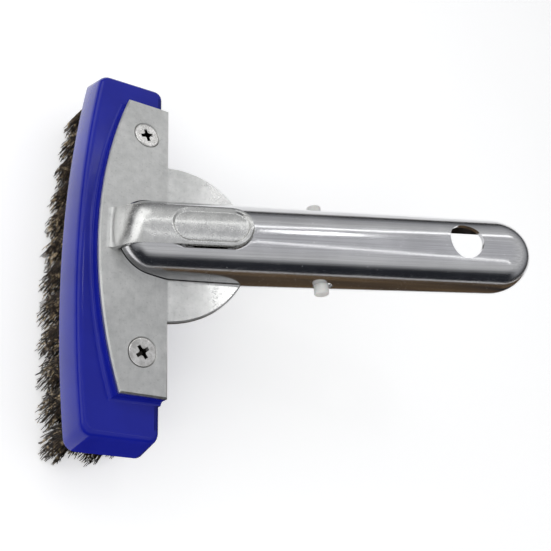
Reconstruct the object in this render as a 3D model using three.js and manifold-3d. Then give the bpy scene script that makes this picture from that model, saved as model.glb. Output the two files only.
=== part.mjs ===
// A five inch pool wall brush: wire tufts in a moulded block, a stamped bracket screwed to it, and a
// pressed channel handle that slides into a telescopic pole and is held there by a sprung V clip.
// Millimetres, +Z up. The origin is the tip of the middle tuft of the second row; the handle rises
// along +X and the block runs along Y.
import * as THREE from "three";
import { mergeVertices } from "three/addons/utils/BufferGeometryUtils.js";
import Module from "manifold-3d";

const wasm = await Module();
wasm.setup();

// Driving dimensions
const CLEARANCE = 0.3; // between pieces that touch

const BRISTLE_TRIM = 20; // free length below the block
const TUFT_HOLE_RADIUS = 1.8;
const TUFT_HOLE_DEPTH = 5.5;
const TUFT_TIP_RADIUS = 2.8;
const TUFT_ROWS = 4;
const TUFT_ROW_PITCH = 7.2;
const TUFTS_IN_LONG_ROW = 12;
const TUFT_PITCH = 10.9;
const TUFT_LEAN = 2.2; // outermost tufts lean out by this much at their tips

const BLOCK_WIDTH = 30.8; // across the middle, at the bristle face
const BLOCK_DEPTH = 11.5;
const BLOCK_REAR_LENGTH = 132.6; // at the top face
const BLOCK_FRONT_LENGTH = 128.5;
const BLOCK_BOW = 5; // how far the front side sweeps back at its ends
const BLOCK_FRONT_DRAFT = 1.5;
const BLOCK_END_FLARE = 3.5;
const BLOCK_CORNER = 3.4;
const BLOCK_FILLET = 2.6;
const BLOCK_FOOT_CHAMFER = 0.6; // small chamfer round the underside
const BLOCK_FOOT_FLARE = 0.95; // share of the end flare left above that chamfer
const BLOCK_SHOULDER_FLARE = 0.2; // share of the end flare left where the top fillet starts
const PAD_RISE = 3.2;
const PAD_MARGIN = 0.2;
const PAD_COVE = 1.4;

const SHEET = 2; // bracket gauge
const PLATE_FRONT_RADIUS = 166.5;
const PLATE_FRONT_INSET = 4.65; // behind the block's top front edge
const PLATE_REAR_INSET = 0.2;
const PLATE_FRONT_LENGTH = 105.8;
const PLATE_REAR_LENGTH = 107.6;
const FLANGE_RADIUS = 29.2;
const FLANGE_ANGLE = 19;
const TONGUE_WIDTH = 14.4;
const TONGUE_END = 27.2; // along the handle from the bend line
const CLINCH_LENGTH = 25;
const CLINCH_WIDTH = 11.8;
const CLINCH_DEPTH = 1;
const CLINCH_SEAM = 0.9; // overlap of the pressed floor and the sheet round it
const TONGUE_RIM = 1.1; // flat left between the clinch and the tongue's end

const SCREW_SPACING = 79.8;
const SCREW_FROM_REAR = 8.9; // from the bend line
const SCREW_HEAD_RADIUS = 4.55;
const SCREW_HEAD_DEPTH = 2.6;
const SCREW_SHANK_RADIUS = 1.75;
const SCREW_LENGTH = 11;
const SCREW_RECESS_DEPTH = 1.9;
const SCREW_RECESS_REACH = 2.5; // centre to the end of one wing of the cross, at the head
const SCREW_RECESS_FOOT = 0.9; // the same at the bottom of the recess
const SCREW_RECESS_SHARE = 0.26; // a wing's width as a share of its length
const SCREW_TURN = 0.5; // how far the driven screws' crosses are turned, in radians
const SCREW_POINT = 2.5; // length of the point
const SCREW_RIM = 0.3; // straight rim of the head

const HANDLE_RADIUS = 14.25; // slides inside a 1-1/4 in pole
const HANDLE_WALL = 1.5;
const HANDLE_ANGLE = 23.7;
const HANDLE_REACH = 139; // bend line to tip
const HANDLE_TIP_DOME = 16;
const HANDLE_NOSE = 19.6; // bend line to nose
const HANDLE_NOSE_DOME = 13.3;
const HANDLE_LIP_DROP = 4.7; // lips below the handle's axis
const HANG_HOLE_RADIUS = 6.6;
const HANG_HOLE_FROM_TIP = 32.2;

const BUTTON_RADIUS = 2.66;
const BUTTON_PROUD = 3.15;
const BUTTON_FROM_TIP = 84.9;
const BUTTON_TRAVEL_SLOT = 1.2; // the button swings this far along its hole
const CLIP_LEG_REACH = 37.6; // hinge to button
const CLIP_LEG_THICKNESS = 2.4;
const CLIP_LEG_HEIGHT = 8;
const CLIP_TAB_LENGTH = 8.5;
const CLIP_HINGE_SPREAD = 3;
const CLIP_TO_WALL = 1.4;

// Levels and places that follow from them
const blockBottom = BRISTLE_TRIM;
const blockTop = blockBottom + BLOCK_DEPTH;
const padTop = blockTop + PAD_RISE;
const plateBottom = padTop + CLEARANCE;
const plateTop = plateBottom + SHEET;
const blockCentreX = TUFT_ROW_PITCH / 2;
const blockFrontX = blockCentreX - BLOCK_WIDTH / 2;
const blockRearX = blockCentreX + BLOCK_WIDTH / 2;
const plateFrontX = blockFrontX + BLOCK_FRONT_DRAFT + PLATE_FRONT_INSET;
const bendX = blockRearX - PLATE_REAR_INSET;
const screwX = bendX - SCREW_FROM_REAR;
const handleTilt = THREE.MathUtils.degToRad(HANDLE_ANGLE);
const buttonX = HANDLE_REACH - BUTTON_FROM_TIP;
const hangHoleX = HANDLE_REACH - HANG_HOLE_FROM_TIP;
const hingeX = buttonX - CLIP_LEG_REACH;
const innerRadius = HANDLE_RADIUS - HANDLE_WALL;

const ROUND = 48; // facets round a full turn of the handle
const BIG = 200; // larger than anything it trims

// Finishes
const blue = new THREE.MeshStandardMaterial({ color: 0x1c26a0, roughness: 0.25, metalness: 0 });
const sheetMetal = new THREE.MeshStandardMaterial({ color: 0xb4b8ba, roughness: 0.5, metalness: 0.9 });
const polished = new THREE.MeshStandardMaterial({ color: 0xc0c0c0, roughness: 0.22, metalness: 1 });
const plated = new THREE.MeshStandardMaterial({ color: 0xd2d2cf, roughness: 0.3, metalness: 1 });
const nylon = new THREE.MeshStandardMaterial({ color: 0xeeeeea, roughness: 0.45, metalness: 0 });
const wire = new THREE.MeshStandardMaterial({ color: 0x3a2f2a, roughness: 0.4, metalness: 0.8 });

// A solid for cutting and joining, from any closed geometry.
function solid(geometry) {
  const bare = new THREE.BufferGeometry();
  bare.setAttribute("position", geometry.getAttribute("position"));
  bare.setIndex(geometry.getIndex());
  const merged = mergeVertices(bare, 1e-4);
  const vertProperties = new Float32Array(merged.getAttribute("position").array);
  const triVerts = new Uint32Array(merged.getIndex().array);
  return new wasm.Manifold(new wasm.Mesh({ numProp: 3, vertProperties, triVerts }));
}

// The flat-shaded geometry of a solid.
function geometryOf(shape) {
  const mesh = shape.getMesh();
  const geometry = new THREE.BufferGeometry();
  geometry.setAttribute("position", new THREE.BufferAttribute(mesh.vertProperties, 3));
  geometry.setIndex(new THREE.BufferAttribute(mesh.triVerts, 1));
  const flat = geometry.toNonIndexed();
  flat.computeVertexNormals();
  return flat;
}

function named(name, geometry, material) {
  const mesh = new THREE.Mesh(geometry, material);
  mesh.name = name;
  return mesh;
}

// A box from its lowest to its highest corner.
function boxBetween(low, high) {
  const box = new THREE.BoxGeometry(high[0] - low[0], high[1] - low[1], high[2] - low[2]);
  box.translate((low[0] + high[0]) / 2, (low[1] + high[1]) / 2, (low[2] + high[2]) / 2);
  return solid(box);
}

// A plan outline raised from z = bottom to z = top.
function prism(outline, bottom, top) {
  const settings = { depth: top - bottom, bevelEnabled: false, curveSegments: 12 };
  const shape = new THREE.ExtrudeGeometry(outline, settings);
  shape.translate(0, 0, bottom);
  return solid(shape);
}

// A stack of rings with the same number of points, closed with a flat face at each end.
function loft(rings, heights) {
  const count = rings[0].length;
  const positions = [];
  const faces = [];
  rings.forEach((ring, level) => ring.forEach((p) => positions.push(p.x, p.y, heights[level])));
  for (let level = 0; level + 1 < rings.length; level++) {
    for (let i = 0; i < count; i++) {
      const a = level * count + i;
      const b = level * count + ((i + 1) % count);
      faces.push(a, b, b + count, a, b + count, a + count);
    }
  }
  const last = (rings.length - 1) * count;
  for (const [a, b, c] of THREE.ShapeUtils.triangulateShape(rings[0], [])) {
    faces.push(a, c, b);
  }
  for (const [a, b, c] of THREE.ShapeUtils.triangulateShape(rings[rings.length - 1], [])) {
    faces.push(last + a, last + b, last + c);
  }
  const geometry = new THREE.BufferGeometry();
  geometry.setAttribute("position", new THREE.Float32BufferAttribute(positions, 3));
  geometry.setIndex(faces);
  return solid(geometry);
}

// The block's plan: straight rear, bowed front, two tapered ends with rounded corners. Flare 0 is the
// top face and 1 the bristle face; inset draws the whole outline in.
function blockOutline(flare, inset) {
  const rearX = blockRearX - inset;
  const frontX = blockFrontX + BLOCK_FRONT_DRAFT * (1 - flare) + inset;
  const cornerX = frontX + BLOCK_BOW;
  const rearY = BLOCK_REAR_LENGTH / 2 + BLOCK_END_FLARE * flare - inset;
  const frontY = BLOCK_FRONT_LENGTH / 2 + BLOCK_END_FLARE * flare - inset;
  const corner = BLOCK_CORNER - inset / 2;
  const end = new THREE.Vector2(cornerX - rearX, frontY - rearY).setLength(corner);
  const turnY = frontY - corner;
  const turnX = frontX + BLOCK_BOW * (turnY / frontY) ** 2;
  const outline = new THREE.Shape();
  outline.moveTo(rearX, -rearY + corner);
  outline.lineTo(rearX, rearY - corner);
  outline.quadraticCurveTo(rearX, rearY, rearX + end.x, rearY + end.y);
  outline.lineTo(cornerX - end.x, frontY - end.y);
  outline.quadraticCurveTo(cornerX, frontY, turnX, turnY);
  outline.quadraticCurveTo(2 * frontX - turnX, 0, turnX, -turnY);
  outline.quadraticCurveTo(cornerX, -frontY, cornerX - end.x, -frontY + end.y);
  outline.lineTo(rearX + end.x, -rearY - end.y);
  outline.quadraticCurveTo(rearX, -rearY, rearX, -rearY + corner);
  return outlinePoints(outline);
}

// Points of an outline: a straight edge keeps its ends, and a long curve gets more steps than a corner.
function outlinePoints(outline) {
  const points = [];
  for (const curve of outline.curves) {
    const isCorner = curve.getLength() < 2 * BLOCK_CORNER;
    const steps = curve.isLineCurve ? 1 : isCorner ? 5 : 18;
    points.push(...curve.getPoints(steps).slice(1));
  }
  return points;
}

// The plate's plan, grown by a margin: an arc along the front, slightly tapered ends.
function plateOutline(margin) {
  const radius = PLATE_FRONT_RADIUS + margin;
  const centreX = plateFrontX + PLATE_FRONT_RADIUS;
  const frontY = PLATE_FRONT_LENGTH / 2 + margin;
  const rearY = PLATE_REAR_LENGTH / 2 + margin;
  const spread = Math.asin(frontY / radius);
  const outline = new THREE.Shape();
  outline.moveTo(bendX, -rearY);
  outline.lineTo(bendX, rearY);
  outline.absarc(centreX, 0, radius, Math.PI - spread, Math.PI + spread, false);
  outline.lineTo(bendX, -rearY);
  return outline;
}

function padRing(margin) {
  return outlinePoints(plateOutline(margin));
}

// Where the tufts stand: rows that ease from the block's bow at the front to straight at the rear,
// and step half a pitch sideways from one row to the next.
function tuftPlaces() {
  const places = [];
  for (let row = 0; row < TUFT_ROWS; row++) {
    const count = TUFTS_IN_LONG_ROW - (row % 2);
    const bowShare = 1 - row / (TUFT_ROWS - 1);
    for (let i = 0; i < count; i++) {
      const y = (i - (count - 1) / 2) * TUFT_PITCH;
      const bow = BLOCK_BOW * (y / (BLOCK_FRONT_LENGTH / 2)) ** 2;
      const across = 1 - 2 * bowShare;
      const along = y / (BLOCK_FRONT_LENGTH / 2);
      places.push({
        x: (row - 1) * TUFT_ROW_PITCH + bow * bowShare,
        y,
        leanX: TUFT_LEAN * across ** 3,
        leanY: TUFT_LEAN * along ** 3,
        name: `tuft_${row + 1}_${String(i + 1).padStart(2, "0")}`,
      });
    }
  }
  return places;
}

const screwSides = [
  { side: "left", y: SCREW_SPACING / 2 },
  { side: "right", y: -SCREW_SPACING / 2 },
];

// The moulded block with its raised pad, blind tuft holes and screw pilots.
function block() {
  const rings = [blockOutline(1, BLOCK_FOOT_CHAMFER), blockOutline(BLOCK_FOOT_FLARE, 0)];
  const heights = [blockBottom, blockBottom + BLOCK_FOOT_CHAMFER];
  const filletSteps = 4;
  for (let i = 0; i <= filletSteps; i++) {
    const turn = (i / filletSteps) * (Math.PI / 2);
    const flare = BLOCK_SHOULDER_FLARE * (1 - i / filletSteps);
    rings.push(blockOutline(flare, BLOCK_FILLET * (1 - Math.cos(turn))));
    heights.push(blockTop - BLOCK_FILLET * (1 - Math.sin(turn)));
  }
  let body = loft(rings, heights);
  const coveRings = [0, 0.5, 1].map((t) => padRing(PAD_MARGIN + PAD_COVE * (1 - t) ** 2));
  coveRings.unshift(padRing(PAD_MARGIN + PAD_COVE));
  body = body.add(loft(coveRings, [blockTop - 1, blockTop, blockTop + PAD_RISE / 2, padTop]));
  body = body.intersect(boxBetween([-BIG, -BIG, 0], [blockRearX, BIG, BIG]));
  for (const { x, y } of tuftPlaces()) {
    const hole = new THREE.CylinderGeometry(TUFT_HOLE_RADIUS, TUFT_HOLE_RADIUS, TUFT_HOLE_DEPTH * 2, 10);
    hole.rotateX(Math.PI / 2).translate(x, y, blockBottom);
    body = body.subtract(solid(hole));
  }
  for (const { y } of screwSides) {
    body = body.subtract(screwSpace(CLEARANCE, y));
  }
  return body;
}

// Screw form on its own axis: flat countersunk head, plain shank, point. Grow leaves room round it.
function screwForm(grow) {
  const top = grow > 0 ? SCREW_HEAD_DEPTH : 0;
  const profile = [
    new THREE.Vector2(0, -SCREW_LENGTH - grow),
    new THREE.Vector2(SCREW_SHANK_RADIUS + grow, -SCREW_LENGTH + SCREW_POINT),
    new THREE.Vector2(SCREW_SHANK_RADIUS + grow, -SCREW_HEAD_DEPTH),
    new THREE.Vector2(SCREW_HEAD_RADIUS + grow, -SCREW_RIM),
    new THREE.Vector2(SCREW_HEAD_RADIUS + grow, top),
    new THREE.Vector2(0, top),
  ];
  const form = new THREE.LatheGeometry(profile, 24);
  return form.rotateX(Math.PI / 2);
}

function screwSpace(grow, y) {
  const form = screwForm(grow);
  form.translate(screwX, y, plateTop);
  return solid(form);
}

// A countersunk cross-recess screw.
function screw(y) {
  let body = screwSpace(0, y);
  for (const quarter of [0, Math.PI / 2]) {
    const depth = SCREW_RECESS_DEPTH * 2;
    const slot = new THREE.CylinderGeometry(SCREW_RECESS_REACH, SCREW_RECESS_FOOT, depth, 4, 1);
    slot.rotateY(Math.PI / 4).rotateX(Math.PI / 2).scale(1, SCREW_RECESS_SHARE, 1);
    slot.rotateZ(quarter + SCREW_TURN);
    slot.translate(screwX, y, plateTop);
    body = body.subtract(solid(slot));
  }
  return body;
}

// A round-ended body of revolution along the handle's axis, of a radius and offset from the handle's
// outer face. It is made in the handle's own frame: +X along the handle, +Z out of its back.
function handleForm(offset) {
  const radius = HANDLE_RADIUS + offset;
  const noseCentre = -HANDLE_NOSE + HANDLE_NOSE_DOME;
  const tipCentre = HANDLE_REACH - HANDLE_TIP_DOME;
  const profile = [];
  const domeSteps = 7;
  for (let i = 0; i <= domeSteps; i++) {
    const turn = (i / domeSteps) * (Math.PI / 2);
    const x = noseCentre - (HANDLE_NOSE_DOME + offset) * Math.cos(turn);
    profile.push(new THREE.Vector2(i === 0 ? 0 : radius * Math.sin(turn), x));
  }
  for (let i = domeSteps; i >= 0; i--) {
    const turn = (i / domeSteps) * (Math.PI / 2);
    const x = tipCentre + (HANDLE_TIP_DOME + offset) * Math.cos(turn);
    profile.push(new THREE.Vector2(i === 0 ? 0 : radius * Math.sin(turn), x));
  }
  const form = new THREE.LatheGeometry(profile, ROUND);
  return form.rotateZ(-Math.PI / 2);
}

// The pressed oval that locks tongue and handle together, as a prism in the handle's frame.
function clinchPrism(grow) {
  const halfWidth = CLINCH_WIDTH / 2 + grow;
  const end = TONGUE_END - TONGUE_RIM - CLINCH_WIDTH / 2;
  const start = end - CLINCH_LENGTH + CLINCH_WIDTH;
  const oval = new THREE.Shape();
  oval.absarc(end, 0, halfWidth, -Math.PI / 2, Math.PI / 2, false);
  oval.absarc(start, 0, halfWidth, Math.PI / 2, Math.PI * 1.5, false);
  return prism(oval, 0, BIG / 4);
}

// A sheet wrapped on the handle between two offsets, with the oval pressed inwards.
function pressedSheet(inner, outer, openGrow, floorGrow) {
  const wrap = solid(handleForm(outer)).subtract(solid(handleForm(inner)));
  const floor = solid(handleForm(outer - CLINCH_DEPTH)).subtract(solid(handleForm(inner - CLINCH_DEPTH)));
  return wrap.subtract(clinchPrism(openGrow)).add(floor.intersect(clinchPrism(floorGrow)));
}

// Handle frame to part frame: the axis meets the bend line at the plate's underside.
const handlePlace = new THREE.Matrix4()
  .makeTranslation(bendX, 0, plateBottom)
  .multiply(new THREE.Matrix4().makeRotationY(-handleTilt));

function inPartFrame(shape) {
  return shape.transform([...handlePlace.elements]);
}

// The channel handle: a pressed inverted trough with rounded ends, open below.
function handle() {
  let body = pressedSheet(-HANDLE_WALL, 0, CLEARANCE, CLEARANCE + CLINCH_SEAM);
  body = body.subtract(boxBetween([-BIG, -BIG, -BIG], [BIG, BIG, -HANDLE_LIP_DROP]));
  const hangHole = new THREE.CylinderGeometry(HANG_HOLE_RADIUS, HANG_HOLE_RADIUS, HANDLE_RADIUS * 2, 32);
  hangHole.rotateX(Math.PI / 2).translate(hangHoleX, 0, HANDLE_RADIUS + HANG_HOLE_RADIUS / 2);
  body = body.subtract(solid(hangHole));
  body = body.subtract(buttonSlot());
  const trimmed = boxBetween([-BIG, -BIG, -BIG], [blockRearX + CLEARANCE, BIG, plateBottom]);
  return inPartFrame(body).subtract(trimmed);
}

// The slot through both sides of the handle that the clip's buttons stand in.
function buttonSlot() {
  const half = BUTTON_RADIUS + CLEARANCE;
  const slot = new THREE.Shape();
  slot.absarc(buttonX + BUTTON_TRAVEL_SLOT, 0, half, -Math.PI / 2, Math.PI / 2, false);
  slot.absarc(buttonX, 0, half, Math.PI / 2, Math.PI * 1.5, false);
  const cut = new THREE.ExtrudeGeometry(slot, { depth: BIG, bevelEnabled: false, curveSegments: 10 });
  cut.translate(0, 0, -BIG / 2).rotateX(Math.PI / 2);
  return solid(cut);
}

// The bracket: flat plate, half-round flange bent up beside the handle, and the tongue lanced from
// the opening, which lies on the handle's back and is clinched to it.
function bracket() {
  let body = prism(plateOutline(0), plateBottom, plateTop);
  const half = new THREE.Shape();
  half.absarc(0, 0, FLANGE_RADIUS, -Math.PI / 2, Math.PI / 2, false);
  const flange = new THREE.ExtrudeGeometry(half, { depth: SHEET, bevelEnabled: false, curveSegments: 24 });
  flange.rotateY(-THREE.MathUtils.degToRad(FLANGE_ANGLE)).translate(bendX, 0, plateBottom);
  body = body.add(solid(flange));
  body = body.subtract(inPartFrame(solid(handleForm(CLEARANCE))));
  for (const { y } of screwSides) {
    body = body.subtract(screwSpace(CLEARANCE, y));
  }
  return body.add(tongue());
}

function tongue() {
  const sheet = pressedSheet(CLEARANCE, CLEARANCE + SHEET, -CLINCH_SEAM, 0);
  const halfWidth = TONGUE_WIDTH / 2;
  const plan = new THREE.Shape();
  plan.moveTo(-BIG / 4, -halfWidth);
  plan.lineTo(TONGUE_END - halfWidth, -halfWidth);
  plan.absarc(TONGUE_END - halfWidth, 0, halfWidth, -Math.PI / 2, Math.PI / 2, false);
  plan.lineTo(-BIG / 4, halfWidth);
  const above = boxBetween([plateFrontX, -BIG, plateBottom], [BIG, BIG, BIG]);
  return inPartFrame(sheet.intersect(prism(plan, 0, BIG / 4))).intersect(above);
}

// The clip's bend, which joins the two legs near the block.
function clipBridge() {
  const half = CLIP_LEG_THICKNESS / 2;
  const reach = half + CLEARANCE;
  const bend = new THREE.Shape();
  bend.absarc(hingeX - reach, 0, CLIP_HINGE_SPREAD + half, Math.PI / 2, Math.PI * 1.5, false);
  bend.absarc(hingeX - reach, 0, CLIP_HINGE_SPREAD - half, Math.PI * 1.5, Math.PI / 2, true);
  return prism(bend, -CLIP_LEG_HEIGHT / 2, CLIP_LEG_HEIGHT / 2);
}

// One leg on the +Y side: a tapering bar from the bend to the button, then a finger tab.
function clipLeg(side) {
  const half = CLIP_LEG_THICKNESS / 2;
  const buttonY = innerRadius - CLIP_TO_WALL - half;
  const lean = Math.atan2(buttonY - CLIP_HINGE_SPREAD, CLIP_LEG_REACH);
  const alongX = half * Math.sin(lean);
  const alongY = half * Math.cos(lean);
  const bar = new THREE.Shape();
  bar.absarc(hingeX, CLIP_HINGE_SPREAD, half, Math.PI / 2 + lean, Math.PI * 1.5 + lean, false);
  bar.lineTo(buttonX + alongX, buttonY - alongY);
  bar.lineTo(buttonX + CLIP_TAB_LENGTH, buttonY - half);
  bar.absarc(buttonX + CLIP_TAB_LENGTH, buttonY, half, -Math.PI / 2, Math.PI / 2, false);
  bar.lineTo(buttonX - alongX, buttonY + half);
  let body = prism(bar, -CLIP_LEG_HEIGHT / 2, CLIP_LEG_HEIGHT / 2);
  const proud = HANDLE_RADIUS + BUTTON_PROUD;
  const button = new THREE.CylinderGeometry(BUTTON_RADIUS, BUTTON_RADIUS, proud - buttonY, 20);
  button.translate(buttonX, (proud + buttonY) / 2, 0);
  body = body.add(solid(button));
  return side > 0 ? body : body.mirror([0, 1, 0]);
}

// A bundle of wires, plain round form: straight in its hole, splayed and leaning below the block.
function tuft(place) {
  const root = TUFT_HOLE_RADIUS - CLEARANCE;
  const top = blockBottom + TUFT_HOLE_DEPTH - CLEARANCE;
  const profile = [
    new THREE.Vector2(0, 0),
    new THREE.Vector2(TUFT_TIP_RADIUS, 0),
    new THREE.Vector2(root, blockBottom - 1),
    new THREE.Vector2(root, top),
    new THREE.Vector2(0, top),
  ];
  const form = new THREE.LatheGeometry(profile, 8);
  form.rotateX(Math.PI / 2);
  const positions = form.getAttribute("position");
  for (let i = 0; i < positions.count; i++) {
    if (positions.getZ(i) < root) {
      positions.setX(i, positions.getX(i) + place.leanX);
      positions.setY(i, positions.getY(i) + place.leanY);
    }
  }
  const mesh = named(place.name, form, wire);
  mesh.position.set(place.x, place.y, 0);
  return mesh;
}

const brush = new THREE.Group();
brush.add(named("brush_block", geometryOf(block()), blue));
brush.add(named("bracket_plate", geometryOf(bracket()), sheetMetal));
brush.add(named("handle_channel", geometryOf(handle()), polished));
for (const { side, y } of screwSides) {
  brush.add(named(`screw_${side}`, geometryOf(screw(y)), plated));
}
brush.add(named("clip_bridge", geometryOf(inPartFrame(clipBridge())), nylon));
brush.add(named("clip_leg_left", geometryOf(inPartFrame(clipLeg(1))), nylon));
brush.add(named("clip_leg_right", geometryOf(inPartFrame(clipLeg(-1))), nylon));
for (const place of tuftPlaces()) {
  brush.add(tuft(place));
}

export default brush;
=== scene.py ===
import math
import random

import bmesh
import bpy
from mathutils import Matrix, Vector


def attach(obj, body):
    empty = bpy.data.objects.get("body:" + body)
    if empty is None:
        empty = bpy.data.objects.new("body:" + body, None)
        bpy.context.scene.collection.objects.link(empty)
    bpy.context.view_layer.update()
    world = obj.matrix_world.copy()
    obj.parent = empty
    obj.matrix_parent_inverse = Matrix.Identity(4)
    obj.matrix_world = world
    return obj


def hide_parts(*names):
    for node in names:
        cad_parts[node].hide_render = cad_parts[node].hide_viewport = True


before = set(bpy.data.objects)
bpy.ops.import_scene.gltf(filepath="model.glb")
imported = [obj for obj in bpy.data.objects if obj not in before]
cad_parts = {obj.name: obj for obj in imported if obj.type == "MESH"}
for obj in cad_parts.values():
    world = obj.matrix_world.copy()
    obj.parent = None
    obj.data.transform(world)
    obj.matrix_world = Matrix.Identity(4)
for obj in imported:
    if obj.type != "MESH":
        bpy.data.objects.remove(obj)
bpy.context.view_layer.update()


# ---- The set --------------------------------------------------------------------------------------------
# White paper under the brush, two strip lights that draw the long streaks on the handle, two broad panels
# and a small lamp. A dark wall of the room and a brown card, which shows only in reflections, give the
# metal its dark bands.

MM = 0.001
CAMERA_LENS = 40.4
CAMERA_PLACE = Vector((-70.89, -93.47, 206.94)) * MM
CAMERA_AXES = ((0.798, -0.062, 0.600), (-0.185, 0.922, 0.341), (-0.574, -0.383, 0.724))
FLOOR_SIZE = 6.0
FLOOR_GAP = 0.0004
FLOOR_PALE = (0.95, 0.95, 0.945, 1)
FLOOR_GLOW = (1, 1, 1, 1)
FLOOR_SHADE = (0.93, 0.93, 0.925, 1)
FLOOR_GLOW_STRENGTH = 0.34
ROOM_STOPS = (
    (0.00, (0.30, 0.28, 0.26, 1)),
    (0.48, (0.12, 0.11, 0.10, 1)),
    (0.55, (0.030, 0.031, 0.035, 1)),
    (0.66, (0.34, 0.345, 0.36, 1)),
    (0.82, (0.62, 0.625, 0.63, 1)),
    (1.00, (0.55, 0.555, 0.58, 1)),
)
DARK_WALL = (0.022, 0.024, 0.030, 1)
CARD_LENGTH = 1.365
CARD_CENTRE_X = 0.6775
CARD_NEAR = -0.02
CARD_FAR = -0.9
CARD_LIFT = 0.0006
CARD_BROWN = (0.30, 0.19, 0.09, 1)
WHITE = (1, 1, 1)
WARM_WHITE = (1, 0.99, 0.97)
OVER_BRUSH = (0, 0, 0.03)
OVER_HANDLE = (0.05, 0, 0.03)

bpy.context.scene.view_settings.view_transform = "Standard"


class Signal:
    """One node socket; arithmetic on it adds Math nodes, and node() adds any other node."""

    def __init__(self, tree, socket):
        self.tree = tree
        self.socket = socket

    def node(self, kind, settings, inputs, output=0):
        made = self.tree.nodes.new("ShaderNode" + kind)
        for key, value in settings.items():
            if key == "stops":
                ramp = made.color_ramp
                while len(ramp.elements) < len(value):
                    ramp.elements.new(1)
                for element, (position, color) in zip(ramp.elements, value):
                    element.position = position
                    element.color = color
            else:
                setattr(made, key, value)
        for key, value in inputs.items():
            if isinstance(value, Signal):
                self.tree.links.new(value.socket, made.inputs[key])
            else:
                made.inputs[key].default_value = value
        return Signal(self.tree, made.outputs[output])

    def math(self, operation, first, second):
        return self.node("Math", {"operation": operation}, {0: first, 1: second})

    def __add__(self, other):
        return self.math("ADD", self, other)

    def __mul__(self, other):
        return self.math("MULTIPLY", self, other)

    def __sub__(self, other):
        return self.math("SUBTRACT", self, other)

    def __rsub__(self, other):
        return self.math("SUBTRACT", other, self)

    __radd__ = __add__
    __rmul__ = __mul__

    def noise(self, scale, detail=2.0, roughness=0.5):
        inputs = {"Vector": self, "Scale": scale, "Detail": detail, "Roughness": roughness}
        return self.node("TexNoise", {}, inputs, "Fac")

    def ramp(self, low, high):
        """0 below low, 1 above high, straight between."""
        inputs = {"Value": self, "From Min": low, "From Max": high}
        return self.node("MapRange", {}, inputs)

    def mix(self, first, second):
        """A colour that goes from first to second as this value goes from 0 to 1."""
        return self.node("Mix", {"data_type": "RGBA"}, {0: self, 6: first, 7: second}, 2)

    def bump(self, strength, distance):
        inputs = {"Strength": strength, "Distance": distance, "Height": self}
        return self.node("Bump", {}, inputs, "Normal")


def finish(name, paint, **constants):
    """A material: paint gets the Object coordinates and returns what varies over the surface."""
    material = bpy.data.materials.new(name)
    material.use_nodes = True
    tree = material.node_tree
    shader = tree.nodes["Principled BSDF"]
    for key, value in constants.items():
        shader.inputs[key.replace("_", " ")].default_value = value
    where = Signal(tree, tree.nodes.new("ShaderNodeTexCoord").outputs["Object"])
    for key, signal in paint(where).items():
        tree.links.new(signal.socket, shader.inputs[key])
    return material


def linked(name, data):
    obj = bpy.data.objects.new(name, data)
    bpy.context.scene.collection.objects.link(obj)
    return obj


def shape_of(bm, name):
    mesh = bpy.data.meshes.new(name)
    bm.to_mesh(mesh)
    bm.free()
    return linked(name, mesh)


def paper(where):
    blotch = where.noise(3.0)
    return {
        "Base Color": blotch.ramp(0.3, 0.7).mix(FLOOR_PALE, FLOOR_SHADE),
        "Roughness": where.noise(900.0) * 0.1 + 0.8,
    }


bm = bmesh.new()
bmesh.ops.create_grid(bm, x_segments=1, y_segments=1, size=FLOOR_SIZE / 2)
bmesh.ops.translate(bm, verts=bm.verts, vec=(0, 0, -FLOOR_GAP))
floor = shape_of(bm, "floor")
floor.data.materials.append(finish(
    "pale_paper", paper, Specular_IOR_Level=0.2, Emission_Color=FLOOR_GLOW,
    Emission_Strength=FLOOR_GLOW_STRENGTH))

camera = linked("camera", bpy.data.cameras.new("camera"))
camera.data.lens = CAMERA_LENS
camera.rotation_mode = "QUATERNION"
camera.rotation_quaternion = Matrix(CAMERA_AXES).transposed().to_quaternion()
camera.location = CAMERA_PLACE
bpy.context.scene.camera = camera


def soft_light(name, place, target, width, height, power, color, reflected=True):
    """An area light aimed at target. reflected says whether it shows in glossy surfaces."""
    data = bpy.data.lights.new(name, "AREA")
    data.shape = "RECTANGLE"
    data.size = width
    data.size_y = height
    data.energy = power
    data.color = color
    light = linked(name, data)
    light.location = place
    light.rotation_euler = (Vector(target) - Vector(place)).to_track_quat("-Z", "Y").to_euler()
    light.visible_glossy = reflected


soft_light("far_strip", (0.0, 0.47, 0.71), OVER_HANDLE, 1.3, 0.05, 0.36, WHITE)
soft_light("overhead_strip", (-0.06, -0.18, 0.87), OVER_HANDLE, 1.3, 0.04, 0.24, WHITE)
soft_light("near_side", (-0.7, -0.7, 0.8), OVER_BRUSH, 0.8, 0.8, 4.0, WARM_WHITE, reflected=False)
soft_light("front_wall", (-0.75, 0.4, 0.55), OVER_BRUSH, 1.5, 0.45, 2.1, WHITE)
soft_light("small_lamp", (-0.02, 0.36, 0.95), OVER_BRUSH, 0.14, 0.10, 0.20, WHITE)


def brown_card(where):
    return {"Base Color": where.noise(4.0).ramp(0.3, 0.7).mix(CARD_BROWN, DARK_WALL)}


bm = bmesh.new()
bmesh.ops.create_grid(bm, x_segments=1, y_segments=1, size=0.5)
bmesh.ops.scale(bm, verts=bm.verts, vec=(CARD_LENGTH, CARD_NEAR - CARD_FAR, 1))
bmesh.ops.translate(bm, verts=bm.verts, vec=(CARD_CENTRE_X, (CARD_NEAR + CARD_FAR) / 2, CARD_LIFT))
card = shape_of(bm, "reflector_card")
card.data.materials.append(finish("brown_card", brown_card, Roughness=0.9, Specular_IOR_Level=0.1))
card.visible_camera = card.visible_shadow = card.visible_diffuse = False

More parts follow.
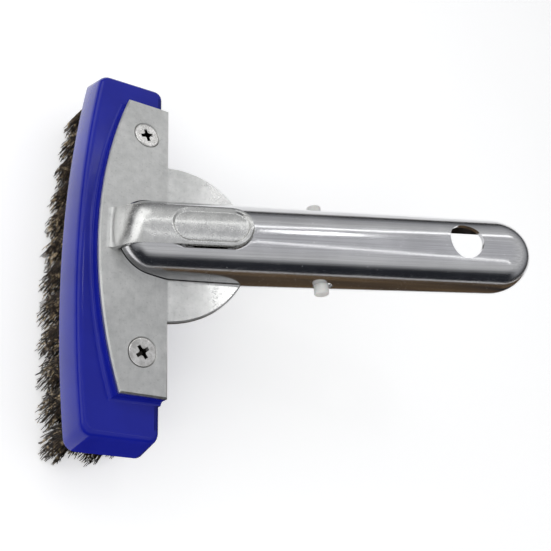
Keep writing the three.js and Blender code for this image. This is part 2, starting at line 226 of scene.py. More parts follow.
room = bpy.data.worlds.new("room")
room.use_nodes = True
sky = Signal(room.node_tree, room.node_tree.nodes.new("ShaderNodeTexCoord").outputs["Generated"])
height = sky.node("SeparateXYZ", {}, {0: sky}, "Z") * 0.5 + 0.5
walls = height.node("ValToRGB", {"stops": ROOM_STOPS}, {0: height}, "Color")
towards_near = (sky.node("SeparateXYZ", {}, {0: sky}, "Y") * -1).ramp(0.45, 0.72)
low_down = 1 - height.ramp(0.70, 0.80)
walls = (towards_near * low_down).mix(walls, DARK_WALL)
backdrop = room.node_tree.nodes["Background"]
room.node_tree.links.new(walls.socket, backdrop.inputs["Color"])
backdrop.inputs["Strength"].default_value = 1.0
bpy.context.scene.world = room


# ---- The block ------------------------------------------------------------------------------------------
# The brush's body: one solid moulding in glossy royal-blue polypropylene. Its front edge bows out, its ends
# flare towards the underside, and a coved pad on its back carries the bracket. 46 blind holes take the wire.

BRISTLE_TRIM = 20.0
BLOCK_WIDTH = 30.8
BLOCK_DEPTH = 11.5
BLOCK_REAR_HALF = 66.3
BLOCK_FRONT_HALF = 64.25
BLOCK_BOW = 5.0
BLOCK_DRAFT = 1.5
BLOCK_END_FLARE = 3.5
BLOCK_CORNER = 3.4
BLOCK_FILLET = 2.2
BLOCK_FOOT_FILLET = 0.6
BLOCK_FRONT_X = -11.8
BLOCK_REAR_X = 19.0
PAD_FOOT = 27.0
PAD_FOOT_DEPTH = 4.5
PAD_COVE = ((0.36, 0.12), (0.32, 0.2), (0.26, 0.27), (0.19, 0.33), (0.105, 0.365), (0.02, 1.915))
PAD_SPREAD = 1.455
PAD_OVERHANG = 9.0
PAD_SHORT_OF_REAR = 0.04
PLATE_ARC = 166.5
PLATE_FRONT_X = -5.65
PLATE_FRONT_HALF = 52.9
PLATE_REAR_HALF = 53.8
BEND_X = 18.8
TUFT_HOLE = 1.8
TUFT_HOLE_DEPTH = 5.5
TUFT_ROWS = 4
TUFT_ROW_PITCH = 7.2
TUFTS_IN_LONG_ROW = 12
TUFT_PITCH = 10.9
BLUE_DEEP = (0.0060, 0.0110, 0.265, 1)
BLUE_LIGHT = (0.0100, 0.0170, 0.350, 1)
CREASE = math.radians(32)
FINE_CREASE = math.radians(16)


def outline_face(bm, points, z):
    return bm.faces.new([bm.verts.new((x, y, z)) for x, y in points])


def raised(bm, face, height):
    """Extrudes a flat face upwards into a solid and returns the new top face."""
    extruded = bmesh.ops.extrude_face_region(bm, geom=[face], use_keep_orig=True)["geom"]
    top = [item for item in extruded if isinstance(item, bmesh.types.BMFace)][0]
    bmesh.ops.translate(bm, verts=top.verts[:], vec=(0, 0, height))
    bmesh.ops.recalc_face_normals(bm, faces=bm.faces)
    return top


def rounded(bm, edges, width, segments):
    settings = {"offset": width, "segments": segments, "profile": 0.5, "material": -1}
    bmesh.ops.bevel(bm, geom=edges, affect="EDGES", clamp_overlap=True, **settings)


def calmed(bm, smallest, width):
    """Frames each large flat face with a narrow band, so that it shades flat up to its rounded rim."""
    wide = [face for face in bm.faces if face.calc_area() > smallest]
    bmesh.ops.inset_individual(bm, faces=wide, thickness=width, use_even_offset=True)


def level_edges(bm):
    """The edges that run level: the rims of a flat solid, without its upright corners."""
    return [e for e in bm.edges if abs(e.verts[0].co.z - e.verts[1].co.z) < 0.1]


def sliced(bm, at, normal, clear_outer=False):
    """Cuts the mesh along a plane. clear_outer drops what lies on the side the normal points to."""
    everything = bm.verts[:] + bm.edges[:] + bm.faces[:]
    bmesh.ops.bisect_plane(bm, geom=everything, plane_co=at, plane_no=normal, clear_outer=clear_outer)


def evaluated_mesh(obj):
    """A new mesh of what the object comes to with its modifiers or its curve thickness."""
    bpy.context.view_layer.update()
    return bpy.data.meshes.new_from_object(obj.evaluated_get(bpy.context.evaluated_depsgraph_get()))


def combined(bm, *steps, careful=False):
    """The solid bm with other solids joined to it or cut from it, in order. careful allows for a solid
    whose fillets cross themselves."""
    obj = shape_of(bm, "workpiece")
    tools = []
    for operation, tool in steps:
        bmesh.ops.recalc_face_normals(tool, faces=tool.faces)
        tools.append(shape_of(tool, "tool"))
        cut = obj.modifiers.new("cut", "BOOLEAN")
        cut.operation = operation
        cut.solver = "EXACT"
        cut.use_self = careful
        cut.object = tools[-1]
    result = bmesh.new()
    result.from_mesh(evaluated_mesh(obj))
    for used in [obj] + tools:
        bpy.data.objects.remove(used)
    return result


def piece(name, bm, coats, body, slot, *nodes, crease=CREASE):
    """A finished piece, from millimetres to metres, riding on its body in place of its plain solids. coats
    lists the materials that the faces' material numbers count in."""
    bmesh.ops.transform(bm, matrix=Matrix.Scale(MM, 4), verts=bm.verts)
    bmesh.ops.recalc_face_normals(bm, faces=bm.faces)
    obj = shape_of(bm, name)
    obj.data.shade_smooth()
    obj.data.set_sharp_from_angle(angle=crease)
    for coat in coats:
        obj.data.materials.append(coat)
    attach(obj, body)
    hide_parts(*nodes)
    return obj


def bowed(x, y, half, bow):
    return x + bow * (y / half) ** 2


def block_points():
    bow_half = BLOCK_FRONT_HALF - 2 * BLOCK_CORNER
    steps = [BLOCK_FRONT_HALF] + [bow_half * (1 - i / 20) for i in range(41)] + [-BLOCK_FRONT_HALF]
    front = [(bowed(BLOCK_FRONT_X, y, BLOCK_FRONT_HALF, BLOCK_BOW), y) for y in steps]
    return [(BLOCK_REAR_X, -BLOCK_REAR_HALF), (BLOCK_REAR_X, BLOCK_REAR_HALF)] + front


def plate_arc(grow):
    """The plate's curved front edge, from its +Y end to its -Y end."""
    radius = PLATE_ARC + grow
    spread = math.asin((PLATE_FRONT_HALF + grow) / radius)
    turns = [math.pi - spread * (1 - i / 24) for i in range(49)]
    centre = PLATE_FRONT_X + PLATE_ARC
    return [(centre + radius * math.cos(turn), radius * math.sin(turn)) for turn in turns]


def tuft_places():
    """Each tuft's name, its root's place and how far out of the middle it is, -1 to 1, both ways."""
    for row in range(TUFT_ROWS):
        count = TUFTS_IN_LONG_ROW - row % 2
        front_share = 1 - row / (TUFT_ROWS - 1)
        for i in range(count):
            y = (i - (count - 1) / 2) * TUFT_PITCH
            x = bowed((row - 1) * TUFT_ROW_PITCH, y, BLOCK_FRONT_HALF, BLOCK_BOW * front_share)
            yield f"tuft_{row + 1}_{i + 1:02d}", x, y, 1 - 2 * front_share, y / BLOCK_FRONT_HALF


def blue_plastic(where):
    clouds = where.noise(45.0, 3.0)
    grain = where.noise(2600.0, 2.0)
    stretched = where.node("Mapping", {}, {"Vector": where, "Scale": (900, 60, 900)})
    scuffs = stretched.noise(1.0, 4.0, 0.7).ramp(0.62, 0.8)
    return {
        "Base Color": clouds.ramp(0.3, 0.7).mix(BLUE_DEEP, BLUE_LIGHT),
        "Roughness": 0.10 + clouds * 0.07 + scuffs * 0.14,
        "Normal": (grain + where.noise(160.0) * 2.0).bump(0.12, 0.00012),
    }


bm = bmesh.new()
top = raised(bm, outline_face(bm, block_points(), BRISTLE_TRIM), BLOCK_DEPTH)
for vert in bm.verts:
    if vert.co.z < BRISTLE_TRIM + 1:
        vert.co.y *= 1 + BLOCK_END_FLARE / BLOCK_REAR_HALF
    else:
        vert.co.x += BLOCK_DRAFT * (BLOCK_REAR_X - vert.co.x) / BLOCK_WIDTH
corners = [e for e in bm.edges if abs(e.verts[0].co.z - e.verts[1].co.z) > 1 and e.calc_face_angle() > 0.5]
rounded(bm, corners, BLOCK_CORNER, 7)
low, high = BRISTLE_TRIM + 0.01, BRISTLE_TRIM + BLOCK_DEPTH - 0.01
rounded(bm, [e for e in bm.edges if min(v.co.z for v in e.verts) > high], BLOCK_FILLET, 7)
rounded(bm, [e for e in bm.edges if max(v.co.z for v in e.verts) < low], BLOCK_FOOT_FILLET, 3)
calmed(bm, 60.0, 0.4)

pad = bmesh.new()
pad_half = PLATE_REAR_HALF + PAD_SPREAD
pad_points = [(BEND_X + PAD_OVERHANG, -pad_half), (BEND_X + PAD_OVERHANG, pad_half)] + plate_arc(PAD_SPREAD)
pad_top = raised(pad, outline_face(pad, pad_points, PAD_FOOT), PAD_FOOT_DEPTH)
for thickness, rise in PAD_COVE:
    bmesh.ops.inset_region(pad, faces=[pad_top], thickness=thickness, depth=rise, use_even_offset=True)
sliced(pad, (BLOCK_REAR_X - PAD_SHORT_OF_REAR, 0, 0), (1, 0, 0), clear_outer=True)
bmesh.ops.holes_fill(pad, edges=[e for e in pad.edges if e.is_boundary])

holes = bmesh.new()
for name, x, y, across, along in tuft_places():
    bmesh.ops.create_cone(
        holes, cap_ends=True, segments=20, radius1=TUFT_HOLE, radius2=TUFT_HOLE, depth=2 * TUFT_HOLE_DEPTH,
        matrix=Matrix.Translation((x, y, BRISTLE_TRIM)))
bm = combined(bm, ("UNION", pad), ("DIFFERENCE", holes), careful=True)
block_finish = finish(
    "blue_plastic", blue_plastic, Specular_IOR_Level=0.25, Coat_Weight=0.1, Coat_Roughness=0.08, IOR=1.49)
piece("moulded_block", bm, [block_finish], "brush", "blue_plastic", "brush_block", crease=FINE_CREASE)


# ---- The handle -----------------------------------------------------------------------------------------
# A trough pressed from 1.5 mm aluminium sheet and polished: a tube that is open below, with a domed nose on
# the block and a domed tip, a hanging hole in its back and a slot in each side for the clip's buttons.

HANDLE_RADIUS = 14.25
HANDLE_WALL = 1.5
HANDLE_TILT = math.radians(23.7)
HANDLE_REACH = 139.0
HANDLE_TIP_DOME = 16.0
HANDLE_NOSE = 19.6
HANDLE_NOSE_DOME = 13.3
HANDLE_LIP = -4.7
HANDLE_STEPS = 96
INSIDE_SHARE = 0.915
MERGE_DISTANCE = 0.001
LIP_ROUNDING = 0.4
PRESS_INSIDE_GROW = 0.9
PRESS_INSIDE_BLEND = 1.2
HANG_HOLE = 6.6
HANG_HOLE_T = 106.8
BUTTON_T = 54.1
BUTTON_SLOT_RADIUS = 2.96
BUTTON_SLOT_RUN = 1.2
PLATE_BOTTOM = 35.0
PRESS_START = 7.0
PRESS_END = 20.2
PRESS_HALF = 5.9
PRESS_DEPTH = 1.0
HANDLE_PLACE = Matrix.Translation((BEND_X, 0, PLATE_BOTTOM)) @ Matrix.Rotation(-HANDLE_TILT, 4, "Y")
POLISH_BRIGHT = (0.72, 0.72, 0.73, 1)
POLISH_DULL = (0.56, 0.56, 0.57, 1)
# Painted shade: the inner face's colours are near-black for aluminium and stand in for the shade inside the
# trough.
INSIDE_SHADE_GREY = (0.16, 0.16, 0.165, 1)
INSIDE_SHADE_DARK = (0.06, 0.06, 0.062, 1)


def lathed(points, axis, steps):
    """A solid turned about an axis through the origin, from a profile that starts and ends on it."""
    bm = bmesh.new()
    verts = [bm.verts.new(point) for point in points]
    edges = [bm.edges.new(pair) for pair in zip(verts, verts[1:])]
    bmesh.ops.spin(
        bm, geom=verts + edges, cent=(0, 0, 0), axis=axis, angle=math.tau, steps=steps, use_merge=True)
    bmesh.ops.remove_doubles(bm, verts=bm.verts, dist=MERGE_DISTANCE)
    bmesh.ops.recalc_face_normals(bm, faces=bm.faces)
    return bm


def handle_form(grow, steps, dome_steps):
    """The handle's round form with domed ends, lying along X."""
    nose = HANDLE_NOSE_DOME - HANDLE_NOSE
    tip = HANDLE_REACH - HANDLE_TIP_DOME
    radius = HANDLE_RADIUS + grow
    turns = [math.pi / 2 * i / dome_steps for i in range(dome_steps + 1)]
    points = [(nose - (HANDLE_NOSE_DOME + grow) * math.cos(t), radius * math.sin(t)) for t in turns]
    points += [(nose + (tip - nose) * i / HANDLE_STEPS, radius) for i in range(1, HANDLE_STEPS)]
    points += [(tip + (HANDLE_TIP_DOME + grow) * math.cos(t), radius * math.sin(t)) for t in reversed(turns)]
    return lathed([(x, 0, abs(r)) for x, r in points], (1, 0, 0), steps)


def press_share(t, v, grow, blend):
    """How far into the oval press a point is: 0 outside it, 1 on its floor."""
    nearest = min(max(t, PRESS_START), PRESS_END)
    into = (PRESS_HALF + grow - math.hypot(t - nearest, v)) / blend + 0.5
    into = min(max(into, 0), 1)
    return into * into * (3 - 2 * into)


def block_of(low, high):
    bm = bmesh.new()
    bmesh.ops.create_cube(bm, size=1)
    size = Vector(high) - Vector(low)
    bmesh.ops.scale(bm, verts=bm.verts, vec=size)
    bmesh.ops.translate(bm, verts=bm.verts, vec=Vector(low) + size / 2)
    return bm


def peg(radius, depth, centre, turn, segments):
    """A round cutter on a centre, turned from upright."""
    bm = bmesh.new()
    place = Matrix.Translation(centre) @ turn
    bmesh.ops.create_cone(
        bm, cap_ends=True, segments=segments, radius1=radius, radius2=radius, depth=depth, matrix=place)
    return bm


def along_handle(where):
    """Coordinates that run along the handle in X, with its axis at Y and Z 0."""
    back = HANDLE_PLACE.inverted()
    settings = {"Vector": where, "Rotation": back.to_euler(), "Location": back.translation * MM}
    return where.node("Mapping", {}, settings)


def is_inside(point):
    """True on the trough's inner face, in coordinates along the handle."""
    nose, tip = HANDLE_NOSE_DOME - HANDLE_NOSE, HANDLE_REACH - HANDLE_TIP_DOME
    past = max((nose - point.x) / HANDLE_NOSE_DOME, (point.x - tip) / HANDLE_TIP_DOME, 0)
    return math.hypot(past, math.hypot(point.y, point.z) / HANDLE_RADIUS) < INSIDE_SHARE


def polished_aluminium(where):
    turned = along_handle(where)
    drawn = turned.node("Mapping", {}, {"Vector": turned, "Scale": (25, 1800, 1800)}).noise(1.0, 3.0, 0.6)
    clouds = where.noise(70.0, 3.0)
    specks = where.noise(1500.0, 2.0).ramp(0.66, 0.8)
    polish = (drawn * 0.6 + clouds * 0.4).ramp(0.35, 0.65).mix(POLISH_DULL, POLISH_BRIGHT)
    return {
        "Base Color": polish,
        "Roughness": 0.09 + clouds * 0.07 + drawn * 0.05 + specks * 0.2,
        "Normal": (drawn + clouds * 3.0).bump(0.10, 0.00008),
    }


# The trough's inner face has a rougher, unpolished finish, and its colour is darkened to near-black as
# painted shade inside the trough.
def unpolished_aluminium_painted_shade(where):
    clouds = where.noise(180.0, 4.0, 0.6)
    return {
        "Base Color": clouds.ramp(0.35, 0.65).mix(INSIDE_SHADE_DARK, INSIDE_SHADE_GREY),
        "Roughness": 0.45 + clouds * 0.2,
        "Normal": clouds.bump(0.2, 0.0001),
    }


bm = handle_form(0, 120, 22)
sliced(bm, (0, 0, HANDLE_LIP), (0, 0, -1), clear_outer=True)
for vert in bm.verts:
    if vert.co.z > 0:
        inwards = PRESS_DEPTH * press_share(vert.co.x, vert.co.y, PRESS_INSIDE_GROW, PRESS_INSIDE_BLEND)
        vert.co -= Vector((0, vert.co.y, vert.co.z)).normalized() * inwards
bmesh.ops.solidify(bm, geom=bm.faces[:], thickness=HANDLE_WALL)
bmesh.ops.recalc_face_normals(bm, faces=bm.faces)
lips = [e for e in bm.edges if e.is_manifold and e.calc_face_angle() > 0.9 and e.verts[0].co.z < 1]
rounded(bm, lips, LIP_ROUNDING, 3)
slot_turn = Matrix.Rotation(math.pi / 2, 4, "X")
slot_t = BUTTON_T + BUTTON_SLOT_RUN / 2
slots = peg(BUTTON_SLOT_RADIUS, 60, (slot_t, 0, 0), slot_turn, 48)
for vert in slots.verts:
    vert.co.x += math.copysign(BUTTON_SLOT_RUN / 2, vert.co.x - slot_t)
hang_hole = peg(HANG_HOLE, 30, (HANG_HOLE_T, 0, 18), Matrix.Identity(4), 72)
over_block = block_of((-60, -60, -60), (BLOCK_REAR_X + 0.3, 60, PLATE_BOTTOM))
bmesh.ops.transform(over_block, matrix=HANDLE_PLACE.inverted(), verts=over_block.verts)
bm = combined(bm, ("DIFFERENCE", over_block), ("DIFFERENCE", slots), ("DIFFERENCE", hang_hole))
for face in bm.faces:
    face.material_index = int(is_inside(face.calc_center_median()))
bmesh.ops.transform(bm, matrix=HANDLE_PLACE, verts=bm.verts)
inside_finish = finish("unpolished_aluminium_painted_shade", unpolished_aluminium_painted_shade, Metallic=1.0)
handle_finish = finish("polished_aluminium", polished_aluminium, Metallic=1.0)
piece("channel_handle", bm, [handle_finish, inside_finish], "brush", "pressed_aluminium", "handle_channel")


# ---- The bracket ----------------------------------------------------------------------------------------
# One stamping in 2 mm aluminium sheet, left as sheared: the plate on the block, a half-round flange bent up
# beside the handle, and a tongue lanced from the plate, laid along the handle's back and clinched into it.

SHEET = 2.0
CLEARANCE = 0.3
FLANGE_RADIUS = 29.2
FLANGE_TILT = math.radians(19)
BEND_HALF = 1.1
SHEARED_EDGE = 0.5
SCREW_X = 9.9
SCREW_Y = 39.9
SCREW_HEAD = 4.55
SCREW_HEAD_DEPTH = 2.6
TONGUE_HALF = 7.2
TONGUE_END = 27.2
TONGUE_ROOT = (
    (-4.4, 36.93), (-3.3, 37.0), (-2.3, 37.3), (-1.4, 38.3), (-0.6, 40.1), (0.4, 42.0), (2.0, 44.3),
    (4.0, 46.2))
OFF_THE_CORNERS = 0.003
TONGUE_ROOT_SHARE = 0.34
TONGUE_GRID = (190, 52)
TONGUE_EDGE = 0.45
STRAIGHT_FROM = -0.9
WRAP_START = 1.5
WRAP_SPANS = 6.0
LEAST_WRAP = 0.03
PRESS_OUTSIDE_GROW = -0.1
PRESS_OUTSIDE_BLEND = 0.8
SINK_TOP = SCREW_HEAD + 0.78
SINK_BOTTOM = 2.65
SINK_DEPTH = 2.8
MILL_LIGHT = (0.70, 0.70, 0.685, 1)
MILL_DARK = (0.50, 0.505, 0.495, 1)


def bent(point):
    """A point of the flat blank, after the flange is bent up."""
    radius = 2 * BEND_HALF / FLANGE_TILT
    past = point.x - (BEND_X - BEND_HALF)
    turn = min(max(past / (2 * BEND_HALF), 0), 1) * FLANGE_TILT
    start = Vector((BEND_X - BEND_HALF, 0, PLATE_BOTTOM))
    if past <= 0:
        return point
    start += Vector((radius * math.sin(turn), 0, radius * (1 - math.cos(turn))))
    beyond = max(past - 2 * BEND_HALF, 0)
    start += Vector((math.cos(turn), 0, math.sin(turn))) * beyond
    start += Vector((-math.sin(turn), 0, math.cos(turn))) * (point.z - PLATE_BOTTOM)
    return Vector((start.x, point.y, start.z))


def curve_through(points, t):
    """A smooth curve through points, with t from 0 to the number of spans."""
    i = min(int(t), len(points) - 2)
    a = points[max(i - 1, 0)]
    b, c = points[i], points[i + 1]
    d = points[min(i + 2, len(points) - 1)]
    u = t - i
    square = (2 * a - 5 * b + 4 * c - d) * u ** 2
    return 0.5 * (2 * b + (c - a) * u + square + (3 * b - a - 3 * c + d) * u ** 3)


def mill_aluminium(where):
    mottle = where.noise(330.0, 5.0, 0.62)
    patches = where.noise(60.0, 3.0)
    rolled = where.node("Mapping", {}, {"Vector": where, "Scale": (1500, 60, 400)}).noise(1.0, 3.0, 0.6)
    pits = where.noise(1250.0, 2.0).ramp(0.60, 0.74)
    height = where.node("SeparateXYZ", {}, {0: where}, "Z")
    # Lighter, smoother and less bumpy higher up, over the tongue and the outer part of the flange.
    higher_up = height.ramp(PLATE_BOTTOM * MM + 0.0035, PLATE_BOTTOM * MM + 0.008)
    tone = (mottle * 0.5 + patches * 0.4 + rolled * 0.1).ramp(0.34, 0.64) + higher_up * 0.35
    return {
        "Base Color": (tone - pits * 0.35).mix(MILL_DARK, MILL_LIGHT),
        "Roughness": 0.30 + mottle * 0.16 + pits * 0.15 - higher_up * 0.15,
        "Normal": ((mottle + rolled * 0.15 - pits * 0.8) * (1 - higher_up * 0.75)).bump(0.24, 0.00014),
    }


half_disc = [math.pi / 2 * (1 - i / 24) for i in range(49)]
blank = [(BEND_X, -PLATE_REAR_HALF)]
blank += [(BEND_X + FLANGE_RADIUS * math.cos(t), -FLANGE_RADIUS * math.sin(t)) for t in half_disc]
blank += [(BEND_X, PLATE_REAR_HALF)] + plate_arc(0)
bm = bmesh.new()
raised(bm, outline_face(bm, blank, PLATE_BOTTOM), SHEET)
rounded(bm, level_edges(bm), SHEARED_EDGE, 1)
calmed(bm, 400.0, 0.35)
for i in range(9):
    sliced(bm, (BEND_X + BEND_HALF * (i - 4) / 4 + OFF_THE_CORNERS, 0, 0), (1, 0, 0))
for vert in bm.verts:
    vert.co = bent(vert.co)
opening = handle_form(CLEARANCE, 96, 20)
bmesh.ops.transform(opening, matrix=HANDLE_PLACE, verts=opening.verts)
sinks = bmesh.new()
for side in (-1, 1):
    place = Matrix.Translation((SCREW_X, side * SCREW_Y, PLATE_BOTTOM + SHEET - 1.0))
    bmesh.ops.create_cone(
        sinks, cap_ends=True, segments=56, radius1=SINK_BOTTOM, radius2=SINK_TOP, depth=SINK_DEPTH,
        matrix=place)
bm = combined(bm, ("DIFFERENCE", opening), ("DIFFERENCE", sinks))

outer = HANDLE_RADIUS + CLEARANCE + SHEET
root = [Vector((x, 0, z)) for x, z in TONGUE_ROOT]
root += [HANDLE_PLACE @ Vector((t, 0, outer)) for t in (-6.3, -4.5, -2.7, STRAIGHT_FROM)]
tongue = bmesh.new()
bmesh.ops.create_grid(tongue, x_segments=TONGUE_GRID[0], y_segments=TONGUE_GRID[1], size=0.5)
for vert in tongue.verts:
    along = vert.co.x + 0.5
    v = 2 * TONGUE_HALF * vert.co.y
    if along < TONGUE_ROOT_SHARE:
        t = along / TONGUE_ROOT_SHARE * (len(root) - 1)
        spine = curve_through(root, t)
        ahead = curve_through(root, min(t + 0.01, len(root) - 1)) - curve_through(root, max(t - 0.01, 0))
        out = Vector((-ahead.z, 0, ahead.x)).normalized()
        bend = min(max((t - WRAP_START) / WRAP_SPANS, LEAST_WRAP), 1)
        radius = outer / (bend * bend * (3 - 2 * bend))
        lowered = 0
    else:
        end = TONGUE_END - TONGUE_HALF + math.sqrt(max(TONGUE_HALF ** 2 - v ** 2, 0))
        t = STRAIGHT_FROM + (end - STRAIGHT_FROM) * (along - TONGUE_ROOT_SHARE) / (1 - TONGUE_ROOT_SHARE)
        spine = HANDLE_PLACE @ Vector((t, 0, outer))
        out = HANDLE_PLACE.to_3x3() @ Vector((0, 0, 1))
        radius = outer
        lowered = PRESS_DEPTH * press_share(t, v, PRESS_OUTSIDE_GROW, PRESS_OUTSIDE_BLEND)
    turn = v / radius
    side = Vector((0, 1, 0)) * math.sin(turn) + out * math.cos(turn)
    vert.co = spine - out * radius + side * (radius - lowered)
bmesh.ops.recalc_face_normals(tongue, faces=tongue.faces)
if sum(face.normal.z for face in tongue.faces) < 0:
    bmesh.ops.reverse_faces(tongue, faces=tongue.faces)
bmesh.ops.solidify(tongue, geom=tongue.faces[:], thickness=SHEET)
bmesh.ops.recalc_face_normals(tongue, faces=tongue.faces)
rims = [e for e in tongue.edges if e.is_manifold and e.calc_face_angle() > 0.9]
rounded(tongue, rims, TONGUE_EDGE, 3)
tongue_mesh = bpy.data.meshes.new("tongue")
tongue.to_mesh(tongue_mesh)
bm.from_mesh(tongue_mesh)
bracket_finish = finish("mill_aluminium", mill_aluminium, Metallic=1.0)
piece("stamped_bracket", bm, [bracket_finish], "brush", "stamped_aluminium", "bracket_plate")


# ---- The screws -----------------------------------------------------------------------------------------
# Two countersunk self-tapping screws with a cross recess, in zinc-plated steel, driven into the block
# through the plate until their heads sit flush.

SCREW_SHANK = 1.75
SCREW_LENGTH = 11.0
RECESS_REACH = 2.7
RECESS_WIDTH = 1.3
RECESS_DEPTH = 2.0
HUB_RADIUS = 1.25
RECESS_TAPER_LONG = 0.35
RECESS_TAPER_WIDE = 0.7
SCREW_POINT = 2.5
ZINC_BRIGHT = (0.82, 0.81, 0.79, 1)
ZINC_DULL = (0.55, 0.54, 0.52, 1)
# Painted shade: the near-black that the screw takes deep in its cross recess and round its head.
RECESS_PAINTED_SHADE = (0.025, 0.023, 0.02, 1)
PAINTED_SHADE_DEPTH = 0.9


def plated_steel(where):
    clouds = where.noise(420.0, 3.0)
    grain = where.noise(2600.0, 2.0)
    height = where.node("SeparateXYZ", {}, {0: where}, "Z")
    # Painted shade: the colour turns near-black from 0.9 mm below the plate's top, in the cross recess and
    # the gap round the head.
    out_of_painted_shade = height.ramp((PLATE_BOTTOM + SHEET - PAINTED_SHADE_DEPTH) * MM, (PLATE_BOTTOM + SHEET - 0.1) * MM)
    zinc = clouds.ramp(0.35, 0.65).mix(ZINC_DULL, ZINC_BRIGHT)
    return {
        "Base Color": out_of_painted_shade.mix(RECESS_PAINTED_SHADE, zinc),
        "Roughness": 0.16 + clouds * 0.16,
        "Normal": (grain + clouds).bump(0.16, 0.00006),
    }


screw_finish = finish("plated_steel", plated_steel, Metallic=1.0)
for side, turn, node in ((1, 0.35, "screw_left"), (-1, 0.62, "screw_right")):
    profile = [
        (0, -SCREW_LENGTH), (SCREW_SHANK, -SCREW_LENGTH + SCREW_POINT),
        (SCREW_SHANK, -SCREW_HEAD_DEPTH), (SCREW_HEAD - 0.1, -0.42), (SCREW_HEAD, -0.3), (SCREW_HEAD, -0.16),
        (SCREW_HEAD - 0.06, -0.06), (SCREW_HEAD - 0.2, 0), (SCREW_HEAD - 0.6, 0), (0, 0)]
    bm = lathed([(r, 0, z) for r, z in profile], (0, 0, 1), 56)
    wing_steps = []
    for quarter in (0, 1):
        across = RECESS_WIDTH / 2
        wing = block_of((-RECESS_REACH, -across, -RECESS_DEPTH), (RECESS_REACH, across, 0.5))
        for vert in wing.verts:
            if vert.co.z < 0:
                vert.co.x *= RECESS_TAPER_LONG
                vert.co.y *= RECESS_TAPER_WIDE
        turned = Matrix.Rotation(turn + quarter * math.pi / 2, 4, "Z")
        bmesh.ops.transform(wing, matrix=turned, verts=wing.verts)
        wing_steps.append(("DIFFERENCE", wing))
    hub = peg(HUB_RADIUS, RECESS_DEPTH * 2, (0, 0, 0), Matrix.Identity(4), 4)
    diagonal = Matrix.Rotation(turn + math.pi / 4, 3, "Z")
    bmesh.ops.rotate(hub, verts=hub.verts, cent=(0, 0, 0), matrix=diagonal)
    bm = combined(bm, *wing_steps, ("DIFFERENCE", hub))
    place = Matrix.Translation((SCREW_X, side * SCREW_Y, PLATE_BOTTOM + SHEET))
    bmesh.ops.transform(bm, matrix=place, verts=bm.verts)
    piece("cross_" + node, bm, [screw_finish], "brush", "plated_screw", node)


# ---- The clip -------------------------------------------------------------------------------------------
# The spring clip that holds the brush in a pole: a V moulded in white nylon inside the handle. Pinching its
# tabs bends the legs inwards and draws the two buttons out of the pole's holes.

HINGE_T = 16.5
HINGE_SPREAD = 3.0
LEG_THICKNESS = 2.4
LEG_HEIGHT = 8.0
TAB_LENGTH = 8.5
CLIP_TO_WALL = 1.4
BUTTON_RADIUS = 2.66
BUTTON_PROUD = 3.15
BUTTON_ROUNDING = 0.45
NYLON_ROUNDING = 0.3
NYLON_WHITE = (0.80, 0.80, 0.78, 1)
NYLON_SHADE = (0.70, 0.70, 0.67, 1)


def white_nylon(where):
    clouds = where.noise(260.0, 3.0)
    grain = where.noise(3200.0, 2.0)
    return {
        "Base Color": clouds.ramp(0.3, 0.7).mix(NYLON_WHITE, NYLON_SHADE),
        "Roughness": 0.36 + clouds * 0.14,
        "Normal": (grain + clouds * 2.0).bump(0.12, 0.00008),
    }


clip_finish = finish("white_nylon", white_nylon, Subsurface_Weight=0.12, Subsurface_Scale=0.002)
half = LEG_THICKNESS / 2
button_y = HANDLE_RADIUS - HANDLE_WALL - CLIP_TO_WALL - half
for side, node in ((1, "clip_leg_left"), (-1, "clip_leg_right")):
    lean = math.atan2(button_y - HINGE_SPREAD, BUTTON_T - HINGE_T)
    hinge_arc = [math.pi / 2 + lean + math.pi * i / 10 for i in range(11)]
    tab_arc = [-math.pi / 2 + math.pi * i / 10 for i in range(11)]
    points = [(HINGE_T + half * math.cos(t), HINGE_SPREAD + half * math.sin(t)) for t in hinge_arc]
    points += [(BUTTON_T + half * math.sin(lean), button_y - half * math.cos(lean))]
    tab_t = BUTTON_T + TAB_LENGTH
    points += [(tab_t + half * math.cos(t), button_y + half * math.sin(t)) for t in tab_arc]
    points += [(BUTTON_T - half * math.sin(lean), button_y + half)]
    bm = bmesh.new()
    raised(bm, outline_face(bm, points, -LEG_HEIGHT / 2), LEG_HEIGHT)
    rounded(bm, level_edges(bm), NYLON_ROUNDING, 3)
    length = HANDLE_RADIUS + BUTTON_PROUD - button_y
    button = peg(BUTTON_RADIUS, length, (BUTTON_T, button_y + length / 2, 0), slot_turn, 48)
    outer_rim = [e for e in button.edges if min(v.co.y for v in e.verts) > button_y + length - 0.01]
    rounded(button, outer_rim, BUTTON_ROUNDING, 4)
    bm = combined(bm, ("UNION", button))
    if side < 0:
        bmesh.ops.scale(bm, verts=bm.verts, vec=(1, -1, 1))
    bmesh.ops.transform(bm, matrix=HANDLE_PLACE, verts=bm.verts)
    piece("pinch_" + node, bm, [clip_finish], node, "white_nylon", node)

bm = bmesh.new()
inner, outer = HINGE_SPREAD - half, HINGE_SPREAD + half
low, high = -LEG_HEIGHT / 2, LEG_HEIGHT / 2
section = [(0, inner, low), (0, outer, low), (0, outer, high), (0, inner, high)]
face = bm.faces.new([bm.verts.new(corner) for corner in section])
bmesh.ops.spin(
    bm, geom=[face] + face.edges[:] + face.verts[:], cent=(0, 0, 0), axis=(0, 0, 1), angle=math.pi, steps=24)
bmesh.ops.recalc_face_normals(bm, faces=bm.faces)
bmesh.ops.translate(bm, verts=bm.verts, vec=(HINGE_T - half - CLEARANCE, 0, 0))
sharp = [e for e in bm.edges if e.is_manifold and e.calc_face_angle() > 1.2]
rounded(bm, sharp, NYLON_ROUNDING, 3)
bmesh.ops.transform(bm, matrix=HANDLE_PLACE, verts=bm.verts)
piece("clip_bend", bm, [clip_finish], "brush", "white_nylon", "clip_bridge")


# ---- The wire -------------------------------------------------------------------------------------------
# 46 tufts of crimped steel wire, each folded and stapled into its hole. They splay below the block and lean a
# little along it. The end tufts of the two shorter rows reach outwards, so all four rows end together.

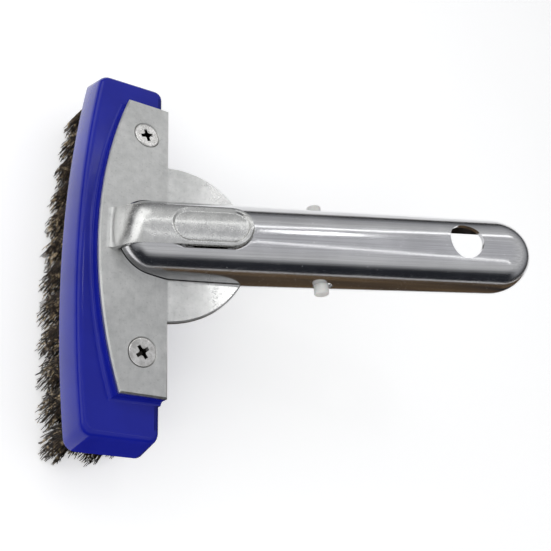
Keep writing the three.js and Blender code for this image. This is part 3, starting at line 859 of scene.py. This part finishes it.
WIRES_IN_TUFT = 170
WIRE_RADIUS = 0.15
WIRE_STEPS = 12
CRIMP = 0.17
ROOT_SPREAD = 1.45
TIP_SPREAD = (4.8, 6.4)
OUTER_LEAN = 0.7
END_REACH = 2.8
END_ALONG = 0.848
SHORT_ROWS = "24"
SWEEP = -3.3
TRIM_RAGGED = 1.6
STRAY = 0.22
LEAST_REACH = 0.9
MOST_REACH = 1.08
SUNK_IN_HOLE = 2.0
WIRE_DARK = (0.012, 0.009, 0.008, 1)
WIRE_BROWN = (0.085, 0.056, 0.034, 1)
# Painted highlight: the tan that stands in for glints of light on the wire.
WIRE_GLINT_TAN = (0.72, 0.58, 0.38, 1)


def browned_wire(where):
    strands = where.noise(620.0, 3.0, 0.6)
    along = where.node("Mapping", {}, {"Vector": where, "Scale": (1, 1, 0.35)}).noise(260.0, 2.0)
    body = strands.ramp(0.42, 0.62).mix(WIRE_DARK, WIRE_BROWN)
    # Painted highlight: tan streaks over the dark wire stand in for glints, and they also raise the metallic
    # weight.
    painted_glints = (strands * 0.7 + along * 0.3).ramp(0.53, 0.62)
    return {
        "Base Color": painted_glints.mix(body, WIRE_GLINT_TAN),
        "Roughness": 0.26 + along * 0.2,
        "Metallic": 0.8 + painted_glints * 0.15,
    }


wire_finish = finish("browned_wire", browned_wire)
draw = random.Random(46)
for name, x, y, across, along in tuft_places():
    curve = bpy.data.curves.new(name, "CURVE")
    curve.dimensions = "3D"
    curve.bevel_depth = WIRE_RADIUS * MM
    curve.bevel_resolution = 0
    curve.use_fill_caps = True
    lean = Vector((OUTER_LEAN * across ** 3, OUTER_LEAN * along ** 3 + SWEEP, 0))
    if name[5] in SHORT_ROWS:
        lean.y += math.copysign(END_REACH * min(1, abs(along) / END_ALONG) ** 12, along)
    for i in range(WIRES_IN_TUFT):
        reach = math.sqrt((i + 0.5) / WIRES_IN_TUFT)
        turn = i * math.pi * (3 - math.sqrt(5)) + draw.uniform(-0.3, 0.3)
        spoke = Vector((math.cos(turn), math.sin(turn), 0))
        tip = Vector((spoke.x * TIP_SPREAD[0], spoke.y * TIP_SPREAD[1], 0)) * reach
        tip *= draw.uniform(LEAST_REACH, MOST_REACH)
        stray = Vector((draw.gauss(0, STRAY), draw.gauss(0, STRAY), 0))
        bottom = TRIM_RAGGED * draw.random() ** 2 + WIRE_RADIUS
        crimp_turn = draw.uniform(0, math.tau)
        crimp = Vector((math.cos(crimp_turn), math.sin(crimp_turn), 0)) * CRIMP
        top = BRISTLE_TRIM + SUNK_IN_HOLE
        line = curve.splines.new("POLY")
        line.points.add(WIRE_STEPS)
        for k in range(WIRE_STEPS + 1):
            z = top + (bottom - top) * k / WIRE_STEPS
            fall = max(BRISTLE_TRIM - z, 0) / BRISTLE_TRIM
            spread = (spoke * ROOT_SPREAD * reach).lerp(tip, fall ** 0.8)
            at = Vector((x, y, z)) + spread + lean * fall ** 1.2 + stray * fall ** 2
            at += crimp * (fall > 0.02) * (-1) ** k * min(1, 6 * fall)
            line.points[k].co = (*(at * MM), 1)
    source = linked("strands", curve)
    mesh = evaluated_mesh(source)
    bpy.data.objects.remove(source)
    mesh.shade_smooth()
    mesh.materials.append(wire_finish)
    wires = linked("wire_" + name, mesh)
    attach(wires, "brush")
    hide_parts(name)
